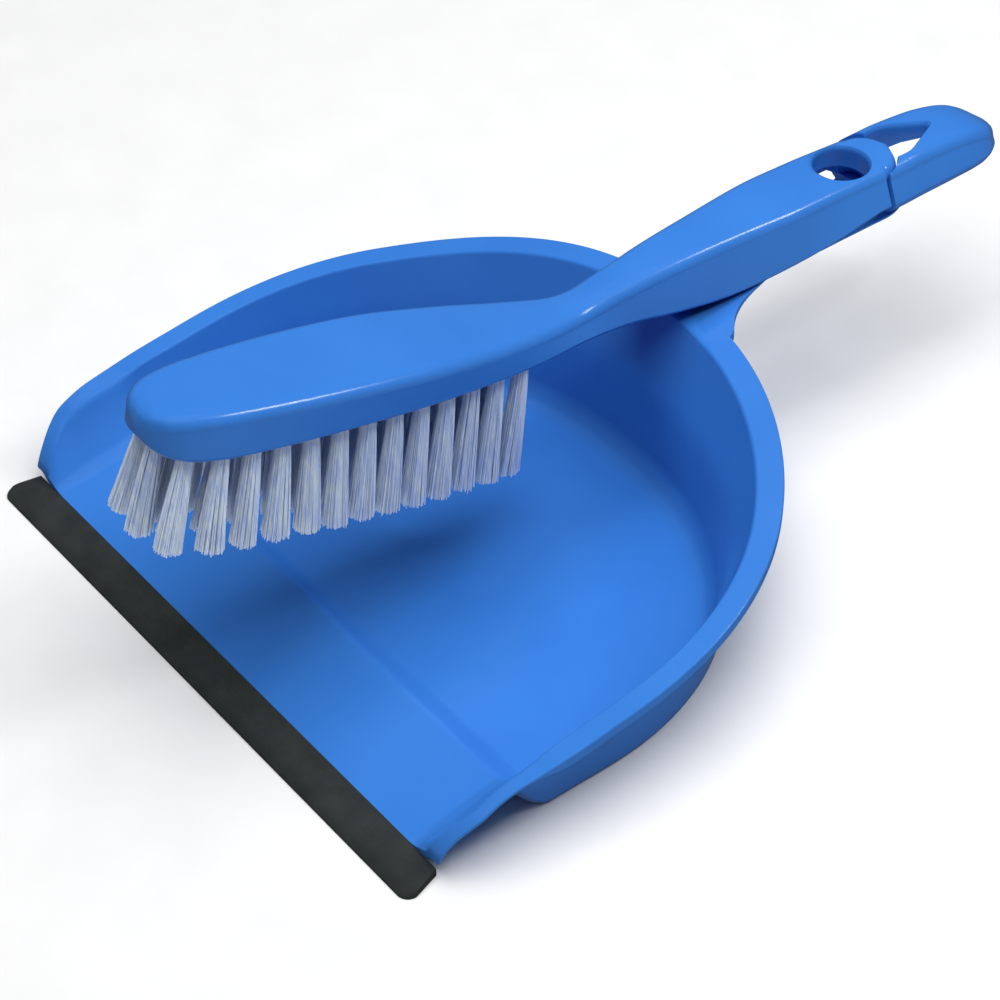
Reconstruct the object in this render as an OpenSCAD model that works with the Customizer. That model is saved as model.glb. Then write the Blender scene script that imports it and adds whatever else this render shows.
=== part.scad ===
// Dust pan with a hand brush laid over its handle.
// Origin: centre of the pan's base, on the surface it stands on.
// +X is the pan's right, +Y points back along the handle, +Z is up.

/* [Pan] */
// Half width of the rim, over the flange
rim_half_w = 118.8; // [105:0.1:130]
// Distance from the origin to the back of the rim
rim_back = 121.5; // [110:0.5:135]
// Half width of the bowl at the top of its wall
bowl_half_w = 111.3; // [98:0.1:122]
// Distance from the origin to the back of the bowl
bowl_back = 111.5; // [100:0.5:125]
// Half width of the floor
floor_half_w = 102; // [90:0.5:104]
// Distance from the origin to the back of the floor
floor_back = 90; // [80:0.5:95]
// How square the round back is, where 2 is a true ellipse
squareness = 2.2; // [2:0.1:2.8]
// Thickness of the moulded walls
wall = 2.2; // [1.6:0.1:3]
// Height of the rim level with the origin
rim_z_mid = 32.1; // [26:0.1:40]
// Rise of the rim towards the back, per millimetre
rim_slope = 0.13; // [0.05:0.01:0.2]
// Height of the crest at the top of the entry ramp
crest_z = 9; // [5:0.5:12]

/* [Lip] */
// Width of the rubber lip strip
lip_w = 226.4; // [200:1:230]
// Depth of the rubber lip strip, front to back
lip_d = 13.6; // [10:0.1:18]
// Distance from the origin forward to the lip's edge
lip_front = 80; // [76:0.5:90]

/* [Brush] */
// Radius of the round hole for hanging the brush
hang_r = 9.6; // [7:0.1:10]
// Free length of the bristles
bristle_len = 38; // [28:1:42]
// Radius of a tuft where it enters its hole
tuft_r = 2.2; // [1.8:0.05:2.4]
// Radius of a tuft at its tip
tuft_tip_r = 3.8; // [2.6:0.1:3.9]
// Tufts in each outer row
outer_count = 13; // [10:1:13]

/* [Hidden] */
$fn = 48;
flange_t = 2.4;
flange_drop = 4;
floor_t = 2.5;
ramp_back_y = -33;
step_y = -24;
ramp_front_y = -lip_front + lip_d;
wing_end_y = ramp_front_y - 1.4;
scoop_half_w = 97;
ramp_half_w = scoop_half_w + 0.7;
lip_t = 3.2;
lip_back_w = lip_w - 6;
tongue_w = 210;
tongue_len = 7;
tongue_t = 0.9;
tongue_z = 0.9;
wing_y = -40;
sweep_y = 70;
sweep_k = 0.0038;

end_y = 202;
end_len = 9.5;
hang_y = 190.8;
hang_plate_z = 72.4;
brush_end_z = 65.7;
recess_half_w = 12.3;
web_z = 60.1;
fit_gap = 0.4;
channel_y0 = 114;
channel_y1 = 177;
shelf_z = brush_end_z - fit_gap;

under_z = 90.2;
under_y = -30;
under_slope = 0.235;
under_tilt = atan(under_slope);
hole_depth = 9;
hole_clear = 0.1;
root_len = 8;
anchor = [4.2, 1.5, 0.4];
row_front = -79;
row_back = 45;
nose_y = -82.5;
trim_slope = 0.065;
nose_lean = 9;
side_lean = 5;

// Stations along a moulding: [y, top half width, bottom half width, bottom z, top z].
brush_stations = [
    [-88.8, 1.5, 3, 107.4, 113], [-87.2, 6, 8.6, 105.2, 115.4], [-83.5, 10, 13.2, 103.2, 116.6],
    [-77, 13, 16.4, 101.3, 116.2], [-64, 15.6, 18.8, 98.2, 113.6], [-35, 17.7, 19.8, 91.4, 106.9],
    [0, 17.8, 19.2, 83.2, 98], [30, 14.6, 16.6, 76.1, 89], [52, 10.6, 13.2, 70.9, 82.4],
    [72, 6.6, 10, 67.5, 78], [90, 6.8, 10.5, 66, 79.4], [108, 8.2, 13, 63.5, 81],
    [130, 9.8, 14.8, 61, 81.7], [155, 11.7, 16.4, 61.8, 81.9], [174, 11.7, 17.2, 63.7, 81.5],
    [185, 11.6, 17.1, 65.1, 81], [195, 11.3, 16.3, brush_end_z, 80.5],
    [198.8, 11.2, 16.2, brush_end_z, 80.3], [200.6, 11, 16, brush_end_z, 80.2],
    [201.6, 10.5, 11.8, brush_end_z, 80.1], [203, 10.4, 11.7, brush_end_z, 80.1],
    [206.5, 9.3, 10.5, brush_end_z, 79.9], [209.6, 6.3, 7.4, brush_end_z, 79.7],
    [end_y + end_len, 2.2, 3.2, brush_end_z + 0.3, 79]
];
bar_stations = [
    [110.6, 12, 13, 42, 51], [120, 11, 13, 47.5, 56.5], [131, 10, 12.4, 52, 62],
    [145, 9.8, 12, 56, 69], [156, 9.8, 11.8, 56.6, 69.5], [165, 9.4, 11, 56.2, 66],
    [174, 9, 10.4, 55.8, 61], [184, 8.6, 10.9, 56.6, 60.6], [196, 8, 12, 57.6, 62],
    [204, 9.4, 13.9, 59.8, 64], [209, 9.8, 13.6, 62.8, 65]
];
loop_stations = [
    [end_y, 11.8, 16.6, 61.8, 80.1], [210, 11.8, 16.7, 62, 80.1], [218, 11.6, 16.6, 62.1, 80.1],
    [234, 11.2, 16, 61.6, 78.8], [246, 10.3, 14.4, 60.3, 76.4], [253, 8.8, 12, 59.5, 73.6],
    [258.5, 5.8, 8.5, 59.4, 70], [262.2, 3, 4.6, 59.8, 66.8], [264, 1, 2, 61, 64.4]
];
// Hollows that are open underneath: [y, half width at the bottom, half width at the top, top z].
end_hollow = [
    [175.5, 20.1, 12.4, hang_plate_z], [199, 19.9, 12.2, hang_plate_z],
    [200.8, 11.4, 10.4, hang_plate_z], [204, 10.2, 9.6, hang_plate_z], [206, 8, 7, hang_plate_z]
];
loop_hollow = [
    [213.6, 17.8, 10.9, 76], [220, 17.8, 10.8, 76], [234, 17, 10.2, 74.7],
    [243, 15.4, 9, 72.8], [249, 12, 6.8, 71], [252.5, 7.5, 4, 69.5]
];

row_names = ["left_outer", "left_inner", "right_inner", "right_outer"];
row_places = [-1, -0.36, 0.36, 1];
function row_count(row) = abs(row_places[row]) == 1 ? outer_count : outer_count - 1;
function two_digits(n) = n < 10 ? str("0", n) : str(n);
function tuft_name(row, i) = str("tuft_", row_names[row], "_", two_digits(i + 1));
TUFT_NODES = [for (row = [0:3], i = [0:row_count(row) - 1]) tuft_name(row, i)];

// ---- Curves ----

function lerp(a, b, t) = a + (b - a) * t;
function smooth(t) = let (u = max(0, min(1, t))) u * u * (3 - 2 * u);
function sgn_pow(v, p) = sign(v) * pow(abs(v), p);

// Catmull-Rom curve through a list of stations, at position s counted in stations.
function spline(p, s) =
    let (n = len(p) - 1, i = min(n - 1, floor(s)), t = s - i,
         a = p[max(0, i - 1)], b = p[i], c = p[i + 1], d = p[min(n, i + 2)])
    0.5 * ((2 * b) + (c - a) * t + (2 * a - 5 * b + 4 * c - d) * t * t
        + (3 * b - a - 3 * c + d) * t * t * t);

// Rounded trapezoid in the plane at y: v is [y, top half w, bottom half w, bottom z, top z].
function half_section(v, rt, rb) =
    concat(
        [for (k = [0:3]) let (a = -90 + 30 * k)
            [v[2] - rb + rb * cos(a), v[3] + rb + rb * sin(a)]],
        [for (k = [0:5]) let (a = 5 + 15 * k)
            [v[1] - 0.7 * rt + rt * cos(a), v[4] - rt + rt * sin(a)]]);
function section(v, rt_max, rb_max) =
    let (h = v[4] - v[3],
         rt = min(rt_max, h * 0.45, v[1] * 0.9),
         rb = min(rb_max, h * 0.4, v[2] * 0.9),
         half = half_section(v, rt, rb), n = len(half))
    concat([for (q = half) [q[0], v[0], q[1]]],
           [for (k = [n - 1:-1:0]) [-half[k][0], v[0], half[k][1]]]);

// Closed solid through a list of rings that all have the same number of points.
module skin(rings) {
    m = len(rings[0]);
    n = len(rings);
    points = [for (r = rings) for (q = r) q];
    sides = [for (i = [0:n - 2]) for (j = [0:m - 1])
        let (k = (j + 1) % m, a = i * m + j, b = i * m + k, c = a + m, d = b + m)
        each [[a, d, c], [a, b, d]]];
    caps = [[for (j = [m - 1:-1:0]) j], [for (j = [0:m - 1]) (n - 1) * m + j]];
    polyhedron(points, concat(sides, caps), convexity = 10);
}

module loft(stations, rt, rb, steps) {
    last = len(stations) - 1;
    skin([for (k = [0:last * steps]) section(spline(stations, k / steps), rt, rb)]);
}

// Cutter with sloping sides, from z = 50 up to each row's top.
module hollow(rows) {
    skin([for (r = rows)
        [[r[1], r[0], 50], [r[2], r[0], r[3]], [-r[2], r[0], r[3]], [-r[1], r[0], 50]]]);
}

// ---- Pan ----

// Height of the rim at y: a gentle rise, a sweep up at the back and a rounded front wing.
function rim_z(y) =
    let (plain = rim_z_mid + rim_slope * y + sweep_k * pow(max(0, y - sweep_y), 2),
         t = min(0.985, max(0, (wing_y - y) / (wing_y - wing_end_y))))
    plain * sqrt(1 - t * t);

// Point on a plan outline: straight sides up to the origin, then a squarish half round.
function outline(a, b, s) =
    s < 0 ? [a, lerp(0, ramp_front_y, -s)] :
    s > 1 ? [-a, lerp(0, ramp_front_y, s - 1)] :
    [a * sgn_pow(cos(180 * s), 2 / squareness), b * pow(sin(180 * s), 2 / squareness)];

// Height of the entry ramp's top at y, and of the floor behind it.
function ramp_z(y) =
    y > step_y ? floor_t :
    y > ramp_back_y ? lerp(crest_z, floor_t, (y - ramp_back_y) / (step_y - ramp_back_y)) :
    lerp(crest_z, lip_t, (ramp_back_y - y) / (ramp_back_y - ramp_front_y));

// Section of the wall and flange at s, from the flange's outer edge inwards and back.
// Beside the ramp the wall turns into a shallow wing, scooped up from the ramp's edge.
// The wing starts further back inside the bowl than it does outside.
function pan_section(s) =
    let (y = outline(rim_half_w, rim_back, s)[1],
         top = rim_z(y),
         wing = smooth((-6 - y) / 18),
         out = smooth((-22 - y) / 15),
         foot = ramp_z(y),
         rise = top - foot,
         pull = 5.4 * smooth((-52 - y) / 17),
         edge = 2 * smooth((-16 - y) / 40) + pull,
         drop = lerp(min(flange_drop, rise * 0.4), 1.5, out),
         t = min(flange_t, rise * 0.3))
    [for (p = [
        [rim_half_w - edge, rim_back, top - drop],
        [rim_half_w - edge, rim_back, top - 0.3 * t],
        [rim_half_w - edge - 1, rim_back - 1, top],
        [bowl_half_w + 0.8 - pull, bowl_back + 0.8, top - 0.06 * rise * out],
        [bowl_half_w - pull, bowl_back, top - 0.3 * t - 0.1 * rise * out],
        [lerp(floor_half_w + 3.6, 105, wing) - 0.6 * pull, floor_back + 6.5,
         foot + lerp(5.5, 0.36 * rise, wing)],
        [lerp(floor_half_w + 2.2, 101, wing) - 0.2 * pull, floor_back + 3,
         foot + lerp(1.5, 0.12 * rise, wing)],
        [lerp(floor_half_w, scoop_half_w, wing), floor_back, foot - lerp(1.3, 0.1, wing)],
        [lerp(floor_half_w, scoop_half_w - 3, wing), floor_back, lerp(0, foot - 2.3, out)],
        [lerp(floor_half_w + 6, 102, out) - 0.2 * pull, floor_back + 8,
         lerp(0, foot - 2.1 + 0.1 * rise, out)],
        [lerp(floor_half_w + 7, 107, out) - 0.6 * pull, floor_back + 10,
         lerp(1.4, foot - 1.9 + 0.34 * rise, out)],
        [bowl_half_w + wall - 0.6 - pull, bowl_back + wall - 0.6, top - 1.3 * t - 0.1 * rise * out],
        [rim_half_w - edge - 1.8, rim_back - 1.8, top - t],
        [rim_half_w - edge - 1.8, rim_back - 1.8, top - drop]
    ]) let (q = outline(p[0], p[1], s)) [q[0], q[1], p[2]]];

module bowl_wall() {
    sides = 20;
    skin(concat(
        [for (k = [sides:-1:1]) pan_section(-k / sides)],
        [for (k = [0:40]) pan_section(k / 40)],
        [for (k = [1:sides]) pan_section(1 + k / sides)]));
}

module bowl_floor() {
    linear_extrude(floor_t)
        polygon(concat(
            [[scoop_half_w, step_y - 1], [floor_half_w + 1, -13]],
            [for (k = [0:40]) outline(floor_half_w + 2, floor_back + 2, k / 40)],
            [[-floor_half_w - 1, -13], [-scoop_half_w, step_y - 1]]));
}

module entry_ramp() {
    front = ramp_front_y + 0.04;
    rotate([90, 0, 90])
        translate([0, 0, -ramp_half_w])
            linear_extrude(2 * ramp_half_w)
                polygon([
                    [front, lip_t], [ramp_back_y - 3, crest_z - 0.4],
                    [ramp_back_y, crest_z], [ramp_back_y + 2, crest_z - 0.5],
                    [step_y, floor_t], [step_y, 0], [step_y - 2, 0],
                    [ramp_back_y, crest_z - wall], [front, tongue_z]
                ]);
    translate([-tongue_w / 2, ramp_front_y - tongue_len, tongue_z])
        cube([tongue_w, tongue_len + 1, tongue_t]);
}

// Flat web whose edges curve from the rim into the handle.
module handle_web() {
    skin([for (k = [0:10])
        let (y = lerp(111.6, 146, k / 10), w = 12 + 13.4 * exp((121.6 - y) / 11),
             top = min(rim_z(y), web_z), edge = min(1, flange_drop * (1.1 - k / 10) / 2),
             low = top - flange_drop * (1.1 - k / 10))
        [[w, y, low], [w, y, top - edge], [w - 1, y, top],
         [1 - w, y, top], [-w, y, top - edge], [-w, y, low]]]);
}

module hang_loop() {
    difference() {
        loft(loop_stations, 5, 6, 3);
        hollow(loop_hollow);
        translate([0, end_y, shelf_z])
            scale([1, (end_len + 0.5) / recess_half_w, 1]) cylinder(r = recess_half_w, h = 19);
        linear_extrude(100)
            polygon([[-8.2, 209.3], [8.2, 209.3], [8.2, 215], [7.3, 218], [2, 231.4], [0, 232.6],
                     [-2, 231.4], [-7.3, 218], [-8.2, 215]]);
    }
}

module pan_shell() {
    color("royalblue") {
        bowl_wall();
        bowl_floor();
        entry_ramp();
        handle_web();
        loft(bar_stations, 3, 3, 3);
        hang_loop();
    }
}

// ---- Lip ----

module lip_strip() {
    front = -lip_front;
    back = ramp_front_y - 0.05;
    round = 4;
    color([0.18, 0.19, 0.19])
        difference() {
            intersection() {
                rotate([90, 0, 90])
                    translate([0, 0, -lip_w / 2])
                        linear_extrude(lip_w)
                            polygon([[front, 0], [front, 0.8], [front + 2.5, 2.3],
                                     [back, lip_t], [back, 0]]);
                translate([0, 0, -1])
                    linear_extrude(10)
                        hull() {
                            for (side = [-1, 1])
                                translate([side * (lip_w / 2 - round), front + round])
                                    circle(r = round);
                            translate([-lip_back_w / 2, back - 0.1]) square([lip_back_w, 1]);
                        }
            }
            translate([-tongue_w / 2 - 0.1, back - tongue_len - 0.1, tongue_z - 0.05])
                cube([tongue_w + 0.2, tongue_len + 1, tongue_t + 0.1]);
        }
}

// ---- Brush ----

// Half width of the block's underside at y.
function block_half_w(y) =
    y < -60 ? 19.5 * pow(1 - pow((-60 - y) / 29, 2.2), 1 / 2.2) :
    y < -20 ? 19.5 : 19.5 - 4.3 * pow((y + 20) / 65, 1.5);
function block_under_z(y) = under_z - under_slope * (y - under_y);
function tuft_y(row, i) =
    let (pitch = (row_back - row_front) / (outer_count - 1),
         shift = row_count(row) == outer_count ? 0 : pitch / 2)
    row_front + pitch * i + shift;
function tuft_x(row, i) = row_places[row] * (block_half_w(tuft_y(row, i)) - 5.6);
function tuft_forward(y) = nose_lean * smooth((-40 - y) / 44) - 2;

module at_root(x, y) {
    translate([x, y, block_under_z(y)]) rotate([-under_tilt, 0, 0]) children();
}

module handle_channel() {
    last = 12;
    skin([for (k = [0:last])
        let (y = lerp(channel_y0, channel_y1, k / last))
        [[12.9, y, 50], [12.9, y, 61], [9.2, y, 77], [7.6, y, 78.6],
         [-7.6, y, 78.6], [-9.2, y, 77], [-12.9, y, 61], [-12.9, y, 50]]]);
}

module brush_body() {
    color("dodgerblue")
        difference() {
            loft(brush_stations, 4.5, 2, 3);
            handle_channel();
            hollow(end_hollow);
            translate([0, hang_y, 50]) cylinder(r = hang_r, h = 40);
            for (row = [0:3], i = [0:row_count(row) - 1])
                tuft_hole(tuft_x(row, i), tuft_y(row, i));
            tuft_hole(0, nose_y);
        }
}

module tuft_hole(x, y) {
    at_root(x, y) translate([0, 0, -2]) cylinder(r = tuft_r + hole_clear, h = hole_depth + 2, $fn = 24);
}

// One bundle: a straight root in its hole and a flared free length that leans outwards.
module tuft(x, y) {
    color([0.86, 0.87, 0.95])
        at_root(x, y) {
            cylinder(r = tuft_r, h = root_len, $fn = 24);
            rotate([-tuft_forward(y), -side_lean * x / 14, 0])
                mirror([0, 0, 1])
                    cylinder(r1 = tuft_r - 0.05, r2 = tuft_tip_r,
                             h = bristle_len + trim_slope * (y - 5), $fn = 24);
        }
}

module anchor_wire(x, y) {
    at_root(x, y)
        translate([-anchor[0] / 2, -anchor[1] / 2, root_len + 0.2]) cube(anchor);
}

module tuft_anchors() {
    color("silver") {
        for (row = [0:3], i = [0:row_count(row) - 1])
            anchor_wire(tuft_x(row, i), tuft_y(row, i));
        anchor_wire(0, nose_y);
    }
}

pan_shell();
lip_strip();
brush_body();
tuft_anchors();
tuft(0, nose_y);  // tuft_nose
for (row = [0:3], i = [0:row_count(row) - 1])
    tuft(tuft_x(row, i), tuft_y(row, i));
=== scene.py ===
"""Looks of the dust pan and brush set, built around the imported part.

Lengths in the shape functions are in millimetres and turn into metres when a mesh is made.
"""

import math

import bmesh
import bpy
import numpy as np
from mathutils import Matrix, Vector


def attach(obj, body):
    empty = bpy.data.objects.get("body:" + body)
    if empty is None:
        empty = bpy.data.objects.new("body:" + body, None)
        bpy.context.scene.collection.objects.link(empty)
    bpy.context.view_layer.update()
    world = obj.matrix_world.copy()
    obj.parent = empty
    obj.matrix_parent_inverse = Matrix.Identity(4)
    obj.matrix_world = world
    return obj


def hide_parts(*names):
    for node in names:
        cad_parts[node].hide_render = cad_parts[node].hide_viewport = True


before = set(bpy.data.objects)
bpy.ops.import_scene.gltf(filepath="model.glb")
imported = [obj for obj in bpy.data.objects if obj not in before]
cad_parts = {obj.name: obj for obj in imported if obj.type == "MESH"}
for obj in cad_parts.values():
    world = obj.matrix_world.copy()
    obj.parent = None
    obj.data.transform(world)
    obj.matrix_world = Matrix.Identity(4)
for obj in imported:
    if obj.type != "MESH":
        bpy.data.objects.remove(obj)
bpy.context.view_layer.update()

MM = 0.001

# The pan's driving sizes, as the CAD part has them.
RIM_W, RIM_BACK = 118.8, 121.5
BOWL_W, BOWL_BACK = 111.3, 111.5
FLOOR_W, FLOOR_BACK = 102.0, 90.0
SQUARENESS = 2.2
WALL, FLOOR_T, FLANGE_T, FLANGE_DROP = 2.2, 2.5, 2.4, 4.0
CREST_Z, LIP_T = 9.0, 3.2
STEP_Y, RAMP_BACK_Y, RAMP_FRONT_Y = -24.0, -33.0, -66.4
SCOOP_W = 97.0
LIP_FRONT_Y = -80.0
LIP_W, LIP_BACK_W = 226.4, 220.4
LIP_CORNER_R = 4.0
WEB_TOP_Z, WEB_END_Y = 60.1, 146.0
WEB_HALF_W, WEB_SPREAD, WEB_FADE = 12.0, 13.4, 11.0
WING_TIP_Y = RAMP_FRONT_Y - 1.4

# The brush's and the handle's sizes.
END_Y, END_LEN = 202.0, 9.5
END_Z = 65.7
RECESS_W = 12.3
HANG_Y, HANG_R, HANG_PLATE_Z = 190.8, 9.6, 72.4
ROOT_LEN = 8.0

# The bristles: filaments in a tuft, their sides, and how wide they stand in the hole and at the tips.
HAIRS, HAIR_SIDES = 300, 4
HOLE_SPREAD, TIP_SPREAD = 2.05, 4.1
HAIR_LEVELS = [0.0, 0.12, 0.35, 0.65, 1.0]
BLOCK_TILT = math.atan(0.235)
GOLDEN_ANGLE = 2.39996

# The camera, at the photo's viewing angle.
CAMERA_AZIMUTH, CAMERA_ELEVATION = math.radians(51.81), math.radians(42.0)
CAMERA_DISTANCE, CAMERA_LENS, SENSOR_WIDTH = 0.9, 102.4, 36
CAMERA_TARGET = Vector((0.025, 0.0243, 0.0373))

# The floor is a square grid.
FLOOR_HALF_M, FLOOR_STEPS = 3.0, 24

# Stations: [y, top half width, bottom half width, bottom z, top z].
BRUSH_STATIONS = [
    [-88.8, 1.5, 3, 107.4, 113], [-87.2, 6, 8.6, 105.2, 115.4], [-83.5, 10, 13.2, 103.2, 116.6],
    [-77, 13, 16.4, 101.3, 116.2], [-64, 15.6, 18.8, 98.2, 113.6], [-35, 17.7, 19.8, 91.4, 106.9],
    [0, 17.8, 19.2, 83.2, 98], [30, 14.6, 16.6, 76.1, 89], [52, 10.6, 13.2, 70.9, 82.4],
    [72, 6.6, 10, 67.5, 78], [90, 6.8, 10.5, 66, 79.4], [108, 8.2, 13, 63.5, 81],
    [130, 9.8, 14.8, 61, 81.7], [155, 11.7, 16.4, 61.8, 81.9], [174, 11.7, 17.2, 63.7, 81.5],
    [185, 11.6, 17.1, 65.1, 81], [195, 11.3, 16.3, END_Z, 80.5], [198.8, 11.2, 16.2, END_Z, 80.3],
    [200.6, 11, 16, END_Z, 80.2], [201.6, 10.5, 11.8, END_Z, 80.1], [203, 10.4, 11.7, END_Z, 80.1],
    [206.5, 9.3, 10.5, END_Z, 79.9], [209.6, 6.3, 7.4, END_Z, 79.7],
    [END_Y + END_LEN, 2.2, 3.2, END_Z + 0.3, 79],
]
BAR_STATIONS = [
    [110.6, 12, 13, 42, 51], [120, 11, 13, 47.5, 56.5], [131, 10, 12.4, 52, 62],
    [145, 9.8, 12, 56, 69], [156, 9.8, 11.8, 56.6, 69.5], [165, 9.4, 11, 56.2, 66],
    [174, 9, 10.4, 55.8, 61], [184, 8.6, 10.9, 56.6, 60.6], [196, 8, 12, 57.6, 62],
    [204, 9.4, 13.9, 59.8, 64], [209, 9.8, 13.6, 62.8, 65],
]
LOOP_STATIONS = [
    [END_Y, 11.8, 16.6, 61.8, 80.1], [210, 11.8, 16.7, 62, 80.1], [218, 11.6, 16.6, 62.1, 80.1],
    [234, 11.2, 16, 61.6, 78.8], [246, 10.3, 14.4, 60.3, 76.4], [253, 8.8, 12, 59.5, 73.6],
    [258.5, 5.8, 8.5, 59.4, 70], [262.2, 3, 4.6, 59.8, 66.8], [264, 1, 2, 61, 64.4],
]
# Hollows that are open underneath: [y, half width at the bottom, half width at the top, top z].
END_HOLLOW = [
    [175.5, 20.1, 12.4, HANG_PLATE_Z], [199, 19.9, 12.2, HANG_PLATE_Z],
    [200.8, 11.4, 10.4, HANG_PLATE_Z], [204, 10.2, 9.6, HANG_PLATE_Z], [206, 8, 7, HANG_PLATE_Z],
]
LOOP_HOLLOW = [
    [213.6, 17.8, 10.9, 76], [220, 17.8, 10.8, 76], [234, 17, 10.2, 74.7],
    [243, 15.4, 9, 72.8], [249, 12, 6.8, 71], [252.5, 7.5, 4, 69.5],
]


# ---- Curves ----


def lerp(a, b, t):
    return a + (b - a) * t


def smooth(t):
    u = max(0.0, min(1.0, t))
    return u * u * (3 - 2 * u)


def spline(stations, s):
    """Catmull-Rom through the stations, at position s counted in stations."""
    n = len(stations) - 1
    i = min(n - 1, int(math.floor(s)))
    t = s - i
    a, b, c, d = (np.array(stations[max(0, min(n, i + k))], float) for k in (-1, 0, 1, 2))
    return 0.5 * (
        2 * b + (c - a) * t + (2 * a - 5 * b + 4 * c - d) * t * t + (3 * b - a - 3 * c + d) * t**3
    )


def rounded(points, cuts, steps=5):
    """An open line through the points, with each inner corner cut back by its own length and rounded."""
    p = [np.array(q, float) for q in points]
    out = [p[0]]
    for k in range(1, len(p) - 1):
        back, ahead = p[k - 1] - p[k], p[k + 1] - p[k]
        start = p[k] + back / max(1e-9, np.linalg.norm(back)) * min(cuts[k], 0.49 * np.linalg.norm(back))
        end = p[k] + ahead / max(1e-9, np.linalg.norm(ahead)) * min(cuts[k], 0.49 * np.linalg.norm(ahead))
        for j in range(steps + 1):
            t = j / steps
            out.append((1 - t) ** 2 * start + 2 * t * (1 - t) * p[k] + t * t * end)
    out.append(p[-1])
    return out


# ---- Meshes ----


def mesh_object(name, verts, faces, merge=0.0):
    """A mesh object from vertices in millimetres."""
    mesh = bpy.data.meshes.new(name)
    mesh.from_pydata([tuple(np.array(v) * MM) for v in verts], [], faces)
    bm = bmesh.new()
    bm.from_mesh(mesh)
    if merge:
        bmesh.ops.remove_doubles(bm, verts=bm.verts, dist=merge * MM)
        bmesh.ops.dissolve_degenerate(bm, edges=bm.edges, dist=1e-7)
    bmesh.ops.recalc_face_normals(bm, faces=bm.faces)
    bm.to_mesh(mesh)
    bm.free()
    obj = bpy.data.objects.new(name, mesh)
    bpy.context.scene.collection.objects.link(obj)
    return obj


def shade(obj, angle, weighted=True):
    for face in obj.data.polygons:
        face.use_smooth = True
    obj.data.set_sharp_from_angle(angle=math.radians(angle))
    if weighted:
        even = obj.modifiers.new("even_normals", "WEIGHTED_NORMAL")
        even.weight = 80
        even.keep_sharp = True


def skin(name, rings, merge=0.0, pinched=False):
    """A closed solid through rings with equal numbers of points.

    A pinched one has a last ring that is folded flat, so its points are joined in pairs.
    """
    m = len(rings[0])
    verts = [q for r in rings for q in r]
    faces = []
    for i in range(len(rings) - 1):
        for j in range(m):
            k = (j + 1) % m
            faces.append((i * m + j, i * m + k, (i + 1) * m + k, (i + 1) * m + j))
    faces.append(tuple(range(m - 1, -1, -1)))
    if pinched:
        first = {}
        same = {}
        for k in range((len(rings) - 1) * m, len(rings) * m):
            same[k] = first.setdefault(tuple(np.round(verts[k][1:], 4)), k)
        faces = [[same.get(k, k) for k in f] for f in faces]
        faces = [[k for i, k in enumerate(f) if k != f[i - 1]] for f in faces]
        faces = [f for f in faces if len(f) > 2]
    else:
        faces.append(tuple(range((len(rings) - 1) * m, len(rings) * m)))
    return mesh_object(name, verts, faces, merge)


def half_section(v, rt, rb, crown=0.0):
    """Right half of a rounded trapezoid, from the bottom corner to the top corner."""
    pts = []
    for k in range(9):
        a = math.radians(-90 + 90 * k / 8)
        pts.append((v[2] - rb + rb * math.cos(a), v[3] + rb + rb * math.sin(a)))
    for k in range(15):
        a = math.radians(2 + 88 * k / 14)
        pts.append((v[1] - 0.7 * rt + rt * math.cos(a), v[4] - rt + rt * math.sin(a)))
    flat = pts[-1][0]
    for k in range(1, 5):
        x = flat * (1 - k / 5)
        pts.append((x, v[4] + crown * (1 - (x / max(flat, 1e-6)) ** 2)))
    return pts


def section(v, rt_max, rb_max, crown=0.0):
    h = v[4] - v[3]
    rt = min(rt_max, h * 0.45, v[1] * 0.9)
    rb = min(rb_max, h * 0.4, v[2] * 0.9)
    half = half_section(v, rt, rb, crown)
    right = [(x, v[0], z) for x, z in half]
    left = [(-x, v[0], z) for x, z in reversed(half)]
    return right + left


def loft(name, stations, rt, rb, steps, crown=0.0):
    """A moulding through the stations, with its two ends drawn in to soft points."""
    last = len(stations) - 1
    rings = [section(spline(stations, k / steps), rt, rb, crown) for k in range(last * steps + 1)]
    for at, sign in ((0, -1), (-1, 1)):
        ring = np.array(rings[at])
        middle = ring.mean(0)
        extra = []
        for share, reach in ((0.75, 0.22), (0.4, 0.36), (0.05, 0.4)):
            r = middle + (ring - middle) * share
            r[:, 1] = ring[0, 1] + sign * reach
            extra.append([tuple(q) for q in r])
        rings = extra[::-1] + rings if at == 0 else rings + extra
    return skin(name, rings)


def boolean(obj, other, operation):
    """Unites obj with other, or cuts other from it, and removes other."""
    mod = obj.modifiers.new("cut", "BOOLEAN")
    mod.operation = operation
    mod.solver = "EXACT"
    mod.object = other
    graph = bpy.context.evaluated_depsgraph_get()
    made = bpy.data.meshes.new_from_object(obj.evaluated_get(graph))
    obj.modifiers.clear()
    old = obj.data
    obj.data = made
    bpy.data.meshes.remove(old)
    bpy.data.objects.remove(other)
    return obj


# ---- Pan ----


def rim_z(y):
    """Height of the flange's top, which bends down to the ramp along the wings."""
    plain = 32.1 + 0.13 * y + 0.0038 * max(0.0, y - 70) ** 2
    t = min(0.985, max(0.0, (-40 - y) / (-40 - WING_TIP_Y)))
    return plain * math.sqrt(1 - t * t)


def outline(a, b, s):
    """Point on the right half of a plan outline: s is -1 in front, 0 at the origin, 0.5 at the back."""
    if s < 0:
        return a, lerp(0, RAMP_FRONT_Y, -s)
    c, d = max(0.0, math.cos(math.pi * s)), max(0.0, math.sin(math.pi * s))
    return a * c ** (2 / SQUARENESS), b * d ** (2 / SQUARENESS)


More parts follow.
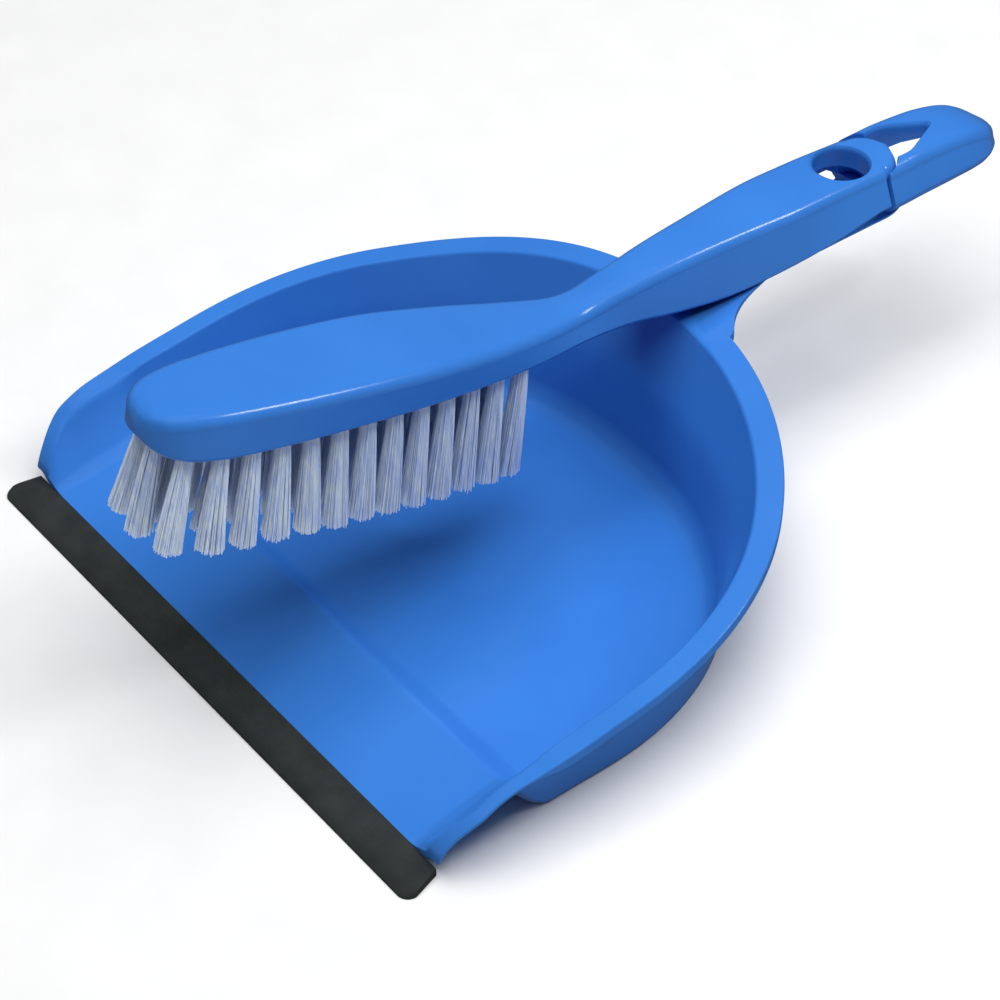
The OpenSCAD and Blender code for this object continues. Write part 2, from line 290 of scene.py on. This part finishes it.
def ramp_z(y):
    """Top of the entry ramp and of the floor behind it, with soft changes of slope."""
    rise = smooth((STEP_Y + 1.5 - y) / (STEP_Y - RAMP_BACK_Y + 3))
    plain = lerp(CREST_Z, LIP_T, max(0.0, (RAMP_BACK_Y - y) / (RAMP_BACK_Y - RAMP_FRONT_Y)))
    return lerp(FLOOR_T, plain, rise)


def web_y(x):
    """How far back the handle's web reaches at x."""
    if x <= WEB_HALF_W:
        return WEB_END_Y
    return min(WEB_END_Y, 121.6 - WEB_FADE * math.log(max(1e-6, (x - WEB_HALF_W) / WEB_SPREAD)))


def bowl_row(s, across=28):
    """One closed ring of the bowl: up one side, over the flange, down, under, and the same on the left."""
    y = outline(RIM_W, RIM_BACK, s)[1]
    top = rim_z(y)
    wing = smooth((-6 - y) / 18)
    out = smooth((-22 - y) / 15)
    foot = ramp_z(y)
    rise = top - foot
    pull = 5.4 * smooth((-52 - y) / 17)
    edge = 2 * smooth((-16 - y) / 40) + pull
    drop = lerp(min(FLANGE_DROP, rise * 0.4), 1.5, out)
    t = min(FLANGE_T, rise * 0.3)
    under = lerp(0, foot - 2.3, out)
    floor_a = lerp(FLOOR_W, SCOOP_W, wing)
    toe_a = lerp(FLOOR_W + 2.6, 101, wing) - 0.2 * pull
    shin_a = lerp(FLOOR_W + 4.0, 105, wing) - 0.6 * pull
    outer_shin_a = lerp(FLOOR_W + 7, 107, out) - 0.6 * pull
    outer_toe_a = lerp(FLOOR_W + 6, 102, out) - 0.2 * pull
    corners = [
        # a, b, z, how far the corner is cut back
        (floor_a - 4, FLOOR_BACK - 4, foot, 0),
        (floor_a, FLOOR_BACK, foot + 0.02, 2.5),
        (toe_a, FLOOR_BACK + 3.6, foot + lerp(1.4, 0.12 * rise, wing), 2),
        (shin_a, FLOOR_BACK + 6.8, foot + lerp(5.5, 0.36 * rise, wing), 3),
        (lerp(108, 108.4, wing) - 0.8 * pull, 101, foot + lerp(0.55, 0.62, wing) * rise, 6),
        (BOWL_W + 0.2 - pull, BOWL_BACK + 0.2, top - 0.05 * t - 0.08 * rise * out, 1.3 + 2 * out),
        (RIM_W - edge, RIM_BACK, top, 1.0),
        (RIM_W - edge, RIM_BACK, top - drop, 0.5),
        (RIM_W - edge - 1.8, RIM_BACK - 1.8, top - drop, 0.4),
        (RIM_W - edge - 1.8, RIM_BACK - 1.8, top - t, 0.6),
        (BOWL_W + WALL - 0.6 - pull, BOWL_BACK + WALL - 0.6, top - 1.3 * t - 0.1 * rise * out, 0.8),
        (outer_shin_a, FLOOR_BACK + 10, lerp(1.4, foot - 1.9 + 0.34 * rise, out), 1.2),
        (outer_toe_a, FLOOR_BACK + 8, lerp(0, foot - 2.1 + 0.1 * rise, out), 0.8),
        (lerp(FLOOR_W - 4, SCOOP_W - 4, out), FLOOR_BACK - 4, under, 0),
    ]
    line = rounded([c[:3] for c in corners], [c[3] for c in corners])
    side = []
    for a, b, z in line:
        x, yy = outline(a, b, s)
        reach = max(0.0, min(1.0, (a - BOWL_W) / (RIM_W - BOWL_W)))
        if s > 0 and x < WEB_HALF_W + WEB_SPREAD and reach > 0:
            far = max(yy, lerp(yy, web_y(x), reach))
            if far > RIM_BACK:
                thin = lerp(1, 0.15, (far - RIM_BACK) / (WEB_END_Y - RIM_BACK))
                z = min(rim_z(far), WEB_TOP_Z) - (top - z) * thin
            yy = far
        side.append((x, yy, z))
    x0, y0, z0 = side[0]
    x1, y1, z1 = side[-1]
    under_row = [(lerp(x1, -x1, k / across), y1, z1) for k in range(1, across)]
    floor_row = [(lerp(-x0, x0, k / across), y0, z0) for k in range(1, across)]
    left = [(-x, yy, z) for x, yy, z in reversed(side)]
    return side + under_row + left + floor_row


def bowl_rows():
    """Places along the outline, about evenly spaced along the rim."""
    straight = [-1 + k / 60 for k in range(60)]
    fine = np.linspace(0, 0.5, 4001)
    pts = np.array([outline(RIM_W, RIM_BACK, s) for s in fine])
    run = np.concatenate([[0], np.cumsum(np.linalg.norm(np.diff(pts, axis=0), axis=1))])
    wanted = np.concatenate([np.linspace(0, run[-1] - 26, 110), np.linspace(run[-1] - 26, run[-1], 40)[1:]])
    return straight + list(np.interp(wanted, run, fine))


def build_pan():
    pan = skin("pan_body", [bowl_row(s) for s in bowl_rows()], pinched=True)
    bar = loft("bar", BAR_STATIONS, 3, 3, 8)
    loop = loft("loop", LOOP_STATIONS, 5, 6, 12, crown=0.3)
    boolean(loop, elliptic_cutter(END_Y, RECESS_W, END_LEN + 0.5, END_Z - 0.4, 81.4), "DIFFERENCE")
    boolean(loop, hollow_cutter(LOOP_HOLLOW), "DIFFERENCE")
    boolean(loop, triangle_cutter(), "DIFFERENCE")
    boolean(bar, loop, "UNION")
    boolean(pan, bar, "UNION")
    shade(pan, 38)
    return pan


def elliptic_cutter(y, radius, length, z0, z1, steps=96):
    """A cutter for the pocket that the brush's end sits in, with a soft lip where it leaves the top."""
    rings = []
    middle = lerp(z0, z1, 0.5)
    levels = ((z0, 0), (middle, 0), (z1 - 2.2, 0), (z1 - 1.7, 0.1), (z1 - 1.4, 0.3), (z1, 1.2))
    for z, grow in levels:
        r = radius + grow
        rings.append(
            [
                (
                    r * math.cos(2 * math.pi * k / steps),
                    y + (length + grow) * math.sin(2 * math.pi * k / steps),
                    z,
                )
                for k in range(steps)
            ]
        )
    return skin("cutter", rings)


def triangle_cutter():
    """The hanging hole through the loop: a rounded triangle that opens softly at the top and bottom."""
    corners = [(-8.2, 208.6), (8.2, 208.6), (8.2, 215.5), (0, 233.4), (-8.2, 215.5), (-8.2, 208.6)]
    rings = []
    for z, grow in ((40, 0), (58, 0), (78.0, 0), (78.7, 0.08), (79.3, 0.3), (79.9, 0.8), (82, 3.2)):
        middle = np.array([0, 219.0, 0])
        ring = []
        flat = rounded([(x, y, 0) for x, y in corners], [0, 0.5, 3.2, 3.0, 3.2, 0.5], steps=8)
        for q in flat[:-1]:
            away = q - middle
            away /= np.linalg.norm(away)
            tilt = -0.08 * max(0.0, q[1] - 218)
            ring.append((q[0] + away[0] * grow, q[1] + away[1] * grow, z + tilt))
        rings.append(ring)
    return skin("cutter", rings)


# ---- Lip ----


def build_lip():
    """The rubber strip: a wedge with a soft front edge, round front corners and tapered ends."""
    back = RAMP_FRONT_Y - 0.05
    depth = back - LIP_FRONT_Y
    line = [(0.0, 0.0), (0.0, 0.8), (2.5, 2.3), (depth, LIP_T)]
    top = rounded([(a, b, 0) for a, b in line], [0, 0.7, 1.8, 0], steps=5)
    rings = []
    ends = 10
    straight = LIP_W / 2 - LIP_CORNER_R
    xs = [-straight - LIP_CORNER_R * math.cos(math.pi / 2 * k / ends) for k in range(ends + 1)]
    xs += list(np.linspace(-straight, straight, 90))[1:-1]
    xs += [-x for x in reversed(xs[: ends + 1])]
    for x in xs:
        over = max(0.0, abs(x) - straight)
        inset = LIP_CORNER_R - math.sqrt(max(0.0, LIP_CORNER_R**2 - over * over))
        share = over / LIP_CORNER_R
        sign = math.copysign(1, x)
        ring = []
        for d, z, _ in top:
            dd = max(d, 0) * (depth - inset) / depth + inset
            narrow = (LIP_W - LIP_BACK_W) / 2 * max(0.0, (dd - LIP_CORNER_R) / (depth - LIP_CORNER_R))
            ring.append((x - sign * narrow * share, LIP_FRONT_Y + dd, z))
        low = [(q[0], q[1], 0.0) for q in reversed(ring)]
        rings.append([*ring, *low[:-1]])
    lip = skin("lip_rubber_strip", rings, merge=0.001)
    shade(lip, 40)
    return lip


# ---- Brush ----


def build_brush():
    brush = loft("brush_body_moulding", BRUSH_STATIONS, 4.5, 2, 10, crown=0.35)
    boolean(brush, channel_cutter(), "DIFFERENCE")
    boolean(brush, hollow_cutter(END_HOLLOW), "DIFFERENCE")
    boolean(brush, hole_cutter(), "DIFFERENCE")
    shade(brush, 38)
    return brush


def channel_cutter():
    """The channel under the brush's handle, which sits over the pan's bar."""
    line = [(0, 50), (12.9, 50), (12.9, 61), (9.2, 77), (7.6, 78.6), (0, 78.6)]
    half = rounded([(a, 0, b) for a, b in line], [0, 0, 2, 1.2, 1.0, 0], steps=4)
    rings = []
    for y, narrow in ((114, 1.0), (114.4, 0.5), (115.2, 0.1), (116, 0), (176, 0), (177, 0)):
        right = [(q[0] * (1 - 0.06 * narrow), y, q[2] - (1.2 * narrow if q[2] > 62 else 0)) for q in half]
        left = [(-q[0], q[1], q[2]) for q in reversed(right)]
        rings.append(right[:-1] + left[:-1])
    return skin("cutter", rings)


def hollow_cutter(rows, steps=6):
    """A cutter with sloping sides and soft top corners, from below the handle up to each row's top."""
    r = 1.2
    rings = []
    last = len(rows) - 1
    for k in range(last * steps + 1):
        i = min(last - 1, k // steps)
        y, low, high, top = (lerp(a, b, k / steps - i) for a, b in zip(rows[i], rows[i + 1]))
        half = [(low, 50), (lerp(high, low, r / (top - 50)), top - r)]
        half += [(high - r + r * math.cos(a), top - r + r * math.sin(a)) for a in (0.35, 0.75, 1.15)]
        half.append((high - r, top))
        rings.append([(x, y, z) for x, z in half] + [(-x, y, z) for x, z in reversed(half)])
    return skin("cutter", rings)


def hole_cutter(steps=96):
    """The round hanging hole, with a soft edge where it meets the top."""
    rings = []
    edge = ((78.4, 0), (79.2, 0.08), (79.9, 0.3), (80.5, 0.75), (81.0, 1.5), (84, 6))
    for z, grow in ((50, 0), (72, 0), *edge):
        r = HANG_R + grow
        turns = [2 * math.pi * k / steps for k in range(steps)]
        rings.append([(r * math.cos(a), HANG_Y + r * math.sin(a), z - 0.1) for a in turns])
    return skin("cutter", rings)


# ---- Bristles ----


def tuft_frame(node):
    """Centre of a tuft's root and of its tip, in millimetres, from the CAD node's own mesh."""
    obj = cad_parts[node]
    co = np.array([obj.matrix_world @ v.co for v in obj.data.vertices], float) / MM
    root = co[co[:, 2] > co[:, 2].max() - 2].mean(0)
    tip = co[co[:, 2] < co[:, 2].min() + 4].mean(0)
    return root, tip


def build_tuft(node, rng):
    """A bundle of fine filaments that splay out from the hole and are trimmed level at the tips."""
    root, tip = tuft_frame(node)
    down = np.array([0, -math.sin(BLOCK_TILT), -math.cos(BLOCK_TILT)])
    mouth = root + down * (ROOT_LEN - 0.6)
    axis = tip - mouth
    length = np.linalg.norm(axis)
    axis /= length
    side = np.cross(axis, [0, 1.0, 0])
    side /= np.linalg.norm(side)
    front = np.cross(side, axis)
    verts, faces = [], []
    sway = rng.normal(0, 0.35, 2)
    for i in range(HAIRS):
        r = math.sqrt((i + 0.5) / HAIRS)
        a = i * GOLDEN_ANGLE + rng.uniform(-0.3, 0.3)
        u = np.array([r * math.cos(a), r * math.sin(a)])
        spread = TIP_SPREAD * (1 + rng.normal(0, 0.05))
        wander = rng.normal(0, 0.22, 2)
        long = length + rng.normal(0, 0.28) - 0.35 * r * r
        thick = rng.uniform(0.16, 0.21)
        start = len(verts)
        for t in HAIR_LEVELS:
            reach = lerp(HOLE_SPREAD, spread, t**0.75)
            off = u * reach + (wander + sway) * t * t
            centre = mouth + axis * long * t + side * off[0] + front * off[1]
            for k in range(HAIR_SIDES):
                b = 2 * math.pi * k / HAIR_SIDES + a
                verts.append(centre + (side * math.cos(b) + front * math.sin(b)) * thick)
        for level in range(len(HAIR_LEVELS) - 1):
            for k in range(HAIR_SIDES):
                n = (k + 1) % HAIR_SIDES
                p = start + level * HAIR_SIDES
                faces.append((p + k, p + n, p + HAIR_SIDES + n, p + HAIR_SIDES + k))
        end = start + (len(HAIR_LEVELS) - 1) * HAIR_SIDES
        faces.append(tuple(end + k for k in range(HAIR_SIDES)))
        faces.append(tuple(start + k for k in reversed(range(HAIR_SIDES))))
    name = node.replace("tuft_", "bristles_")
    mesh = bpy.data.meshes.new(name)
    mesh.from_pydata([tuple(v * MM) for v in verts], [], faces)
    obj = bpy.data.objects.new(name, mesh)
    bpy.context.scene.collection.objects.link(obj)
    shade(obj, 60, weighted=False)
    return obj


# ---- Materials ----


def new_material(name):
    mat = bpy.data.materials.new(name)
    mat.use_nodes = True
    nodes, links = mat.node_tree.nodes, mat.node_tree.links
    shader = nodes["Principled BSDF"]
    coords = nodes.new("ShaderNodeTexCoord")
    return mat, nodes, links, shader, coords


def noise(nodes, links, coords, scale, detail=4.0, rough=0.5, stretch=None):
    tex = nodes.new("ShaderNodeTexNoise")
    tex.inputs["Scale"].default_value = scale
    tex.inputs["Detail"].default_value = detail
    tex.inputs["Roughness"].default_value = rough
    if stretch:
        mapping = nodes.new("ShaderNodeMapping")
        mapping.inputs["Scale"].default_value = stretch
        links.new(coords.outputs["Object"], mapping.inputs["Vector"])
        links.new(mapping.outputs["Vector"], tex.inputs["Vector"])
    else:
        links.new(coords.outputs["Object"], tex.inputs["Vector"])
    return tex.outputs["Fac"]


def ramp(nodes, links, source, stops):
    node = nodes.new("ShaderNodeValToRGB")
    els = node.color_ramp.elements
    while len(els) < len(stops):
        els.new(0.5)
    for el, (pos, col) in zip(els, stops):
        el.position = pos
        el.color = (*col, 1) if len(col) == 3 else col
    links.new(source, node.inputs["Fac"])
    return node.outputs["Color"]


def grey(v):
    return (v, v, v)


def plastic(name, colour, deep):
    """Glossy moulded polypropylene: a slight cloudiness of colour, a faint orange peel, fine scuffs."""
    mat, nodes, links, shader, coords = new_material(name)
    cloud = noise(nodes, links, coords, 22, 3)
    links.new(ramp(nodes, links, cloud, [(0.3, deep), (0.7, colour)]), shader.inputs["Base Color"])
    scuff = noise(nodes, links, coords, 900, 5, 0.6, stretch=(1, 0.25, 1))
    rough = ramp(nodes, links, scuff, [(0.3, grey(0.16)), (0.75, grey(0.22))])
    links.new(rough, shader.inputs["Roughness"])
    peel = noise(nodes, links, coords, 260, 2)
    grain = noise(nodes, links, coords, 2600, 2)
    bump = nodes.new("ShaderNodeBump")
    bump.inputs["Strength"].default_value = 0.12
    bump.inputs["Distance"].default_value = 0.0004
    links.new(peel, bump.inputs["Height"])
    fine = nodes.new("ShaderNodeBump")
    fine.inputs["Strength"].default_value = 0.05
    fine.inputs["Distance"].default_value = 0.00005
    links.new(grain, fine.inputs["Height"])
    links.new(bump.outputs["Normal"], fine.inputs["Normal"])
    links.new(fine.outputs["Normal"], shader.inputs["Normal"])
    shader.inputs["IOR"].default_value = 1.49
    shader.inputs["Specular IOR Level"].default_value = 0.5
    return mat


def rubber(name):
    mat, nodes, links, shader, coords = new_material(name)
    mottle = noise(nodes, links, coords, 120, 4)
    links.new(
        ramp(nodes, links, mottle, [(0.3, (0.022, 0.026, 0.025)), (0.7, (0.032, 0.036, 0.035))]),
        shader.inputs["Base Color"],
    )
    dust = noise(nodes, links, coords, 700, 5, 0.65, stretch=(0.3, 1, 1))
    links.new(ramp(nodes, links, dust, [(0.3, grey(0.55)), (0.7, grey(0.75))]), shader.inputs["Roughness"])
    bump = nodes.new("ShaderNodeBump")
    bump.inputs["Strength"].default_value = 0.25
    bump.inputs["Distance"].default_value = 0.0002
    links.new(noise(nodes, links, coords, 1500, 3), bump.inputs["Height"])
    links.new(bump.outputs["Normal"], shader.inputs["Normal"])
    shader.inputs["Specular IOR Level"].default_value = 0.35
    return mat


def bristle(name):
    """Clear white nylon filaments with a painted cool blue tint: the deeper blue stands for the shade in
    the depth of a tuft, the paler tone for single hairs, spread in random streaks along the hairs.
    """
    mat, nodes, links, shader, coords = new_material(name)
    streak = noise(nodes, links, coords, 700, 2, 0.5, stretch=(1, 1, 0.04))
    # Painted shade: the deeper blue stop stands for the shade inside a tuft; the streak noise places it at
    # random, not by depth.
    links.new(
        ramp(nodes, links, streak, [(0.3, (0.55, 0.69, 1.0)), (0.65, (0.80, 0.90, 1.0))]),
        shader.inputs["Base Color"],
    )
    links.new(ramp(nodes, links, streak, [(0.3, grey(0.3)), (0.7, grey(0.45))]), shader.inputs["Roughness"])
    shader.inputs["Sheen Weight"].default_value = 0.15
    return mat


def steel(name):
    mat, nodes, links, shader, coords = new_material(name)
    shader.inputs["Metallic"].default_value = 1.0
    drawn = noise(nodes, links, coords, 900, 3, 0.5, stretch=(0.1, 1, 1))
    tone = ramp(nodes, links, drawn, [(0.3, grey(0.42)), (0.7, grey(0.62))])
    links.new(tone, shader.inputs["Base Color"])
    links.new(ramp(nodes, links, drawn, [(0.3, grey(0.28)), (0.7, grey(0.45))]), shader.inputs["Roughness"])
    return mat


def floor_material(name):
    mat, nodes, links, shader, coords = new_material(name)
    paper = noise(nodes, links, coords, 40, 4)
    tone = ramp(nodes, links, paper, [(0.3, grey(0.80)), (0.7, grey(0.83))])
    links.new(tone, shader.inputs["Base Color"])
    shader.inputs["Roughness"].default_value = 0.7
    shader.inputs["Specular IOR Level"].default_value = 0.2
    return mat


# ---- Camera, light and floor ----


def look_from(obj, place, back, up):
    right = up.cross(back).normalized()
    up = back.cross(right).normalized()
    m = Matrix((right, up, back)).transposed().to_4x4()
    m.translation = place
    obj.matrix_world = m


def build_camera():
    """The camera looks down from the front, well round towards the pan's right."""
    flat = math.cos(CAMERA_ELEVATION)
    back = Vector(
        (math.sin(CAMERA_AZIMUTH) * flat, -math.cos(CAMERA_AZIMUTH) * flat, math.sin(CAMERA_ELEVATION))
    )
    data = bpy.data.cameras.new("camera")
    data.sensor_width = SENSOR_WIDTH
    data.lens = CAMERA_LENS
    data.clip_start, data.clip_end = 0.05, 20
    cam = bpy.data.objects.new("camera", data)
    bpy.context.scene.collection.objects.link(cam)
    look_from(cam, CAMERA_TARGET + back * CAMERA_DISTANCE, back, Vector((0, 0, 1)))
    bpy.context.scene.camera = cam


def area_light(name, place, target, size, power):
    data = bpy.data.lights.new(name, "AREA")
    data.shape = "RECTANGLE"
    data.size, data.size_y = size
    data.energy = power
    lamp = bpy.data.objects.new(name, data)
    bpy.context.scene.collection.objects.link(lamp)
    back = (Vector(place) - Vector(target)).normalized()
    up = Vector((0, 0, 1)) if abs(back.z) < 0.95 else Vector((0, 1, 0))
    look_from(lamp, Vector(place), back, up)
    return lamp


def build_studio():
    """A broad soft lamp overhead, a narrow one that draws the highlights, and a pale floor.

    The overhead lamp and the floor light the part but don't show as reflections in it.
    """
    world = bpy.data.worlds.new("studio")
    bpy.context.scene.world = world
    world.use_nodes = True
    world.node_tree.nodes["Background"].inputs["Color"].default_value = (0.93, 0.96, 1.0, 1)
    world.node_tree.nodes["Background"].inputs["Strength"].default_value = 0.07
    overhead = area_light("overhead", (0.06, 0.08, 1.5), (0, 0.05, 0), (1.6, 1.6), 33)
    overhead.visible_glossy = False
    area_light("back_right", (0.5, 0.75, 0.95), (0, 0.05, 0.08), (0.12, 0.34), 3.0)
    row = FLOOR_STEPS + 1
    marks = [lerp(-FLOOR_HALF_M, FLOOR_HALF_M, k / FLOOR_STEPS) / MM for k in range(row)]
    verts = [(x, y, 0.0) for x in marks for y in marks]
    faces = [
        (i * row + j, (i + 1) * row + j, (i + 1) * row + j + 1, i * row + j + 1)
        for i in range(FLOOR_STEPS)
        for j in range(FLOOR_STEPS)
    ]
    ground = mesh_object("floor", verts, faces)
    ground.data.materials.append(floor_material("floor_paper"))
    ground.visible_glossy = False


# ---- The object ----

BLUE = (0.040, 0.200, 0.640)
BLUE_DEEP = (0.034, 0.178, 0.590)


def put(obj, material, body, slot, *nodes):
    """Gives a piece its material and its body, and hides the CAD nodes it stands for; the slot argument is
    not used.
    """
    obj.data.materials.clear()
    obj.data.materials.append(material)
    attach(obj, body)
    if nodes:
        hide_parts(*nodes)


build_camera()
build_studio()

pan_blue = plastic("pan_blue_polypropylene", BLUE, BLUE_DEEP)
brush_blue = plastic("brush_blue_polypropylene", BLUE, BLUE_DEEP)
lip_black = rubber("charcoal_rubber")
filament = bristle("white_filament")

put(build_pan(), pan_blue, "pan", "pan_plastic", "pan_shell")
put(build_lip(), lip_black, "pan", "lip_rubber", "lip_strip")
put(build_brush(), brush_blue, "brush", "brush_plastic", "brush_body")

rng = np.random.default_rng(7)
for node in sorted(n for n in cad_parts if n.startswith("tuft_") and n != "tuft_anchors"):
    put(build_tuft(node, rng), filament, "brush", "bristle", node)

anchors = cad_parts["tuft_anchors"]
anchors.data.materials.clear()
anchors.data.materials.append(steel("anchor_steel"))

scene = bpy.context.scene
scene.view_settings.view_transform = "Standard"
scene.view_settings.look = "None"
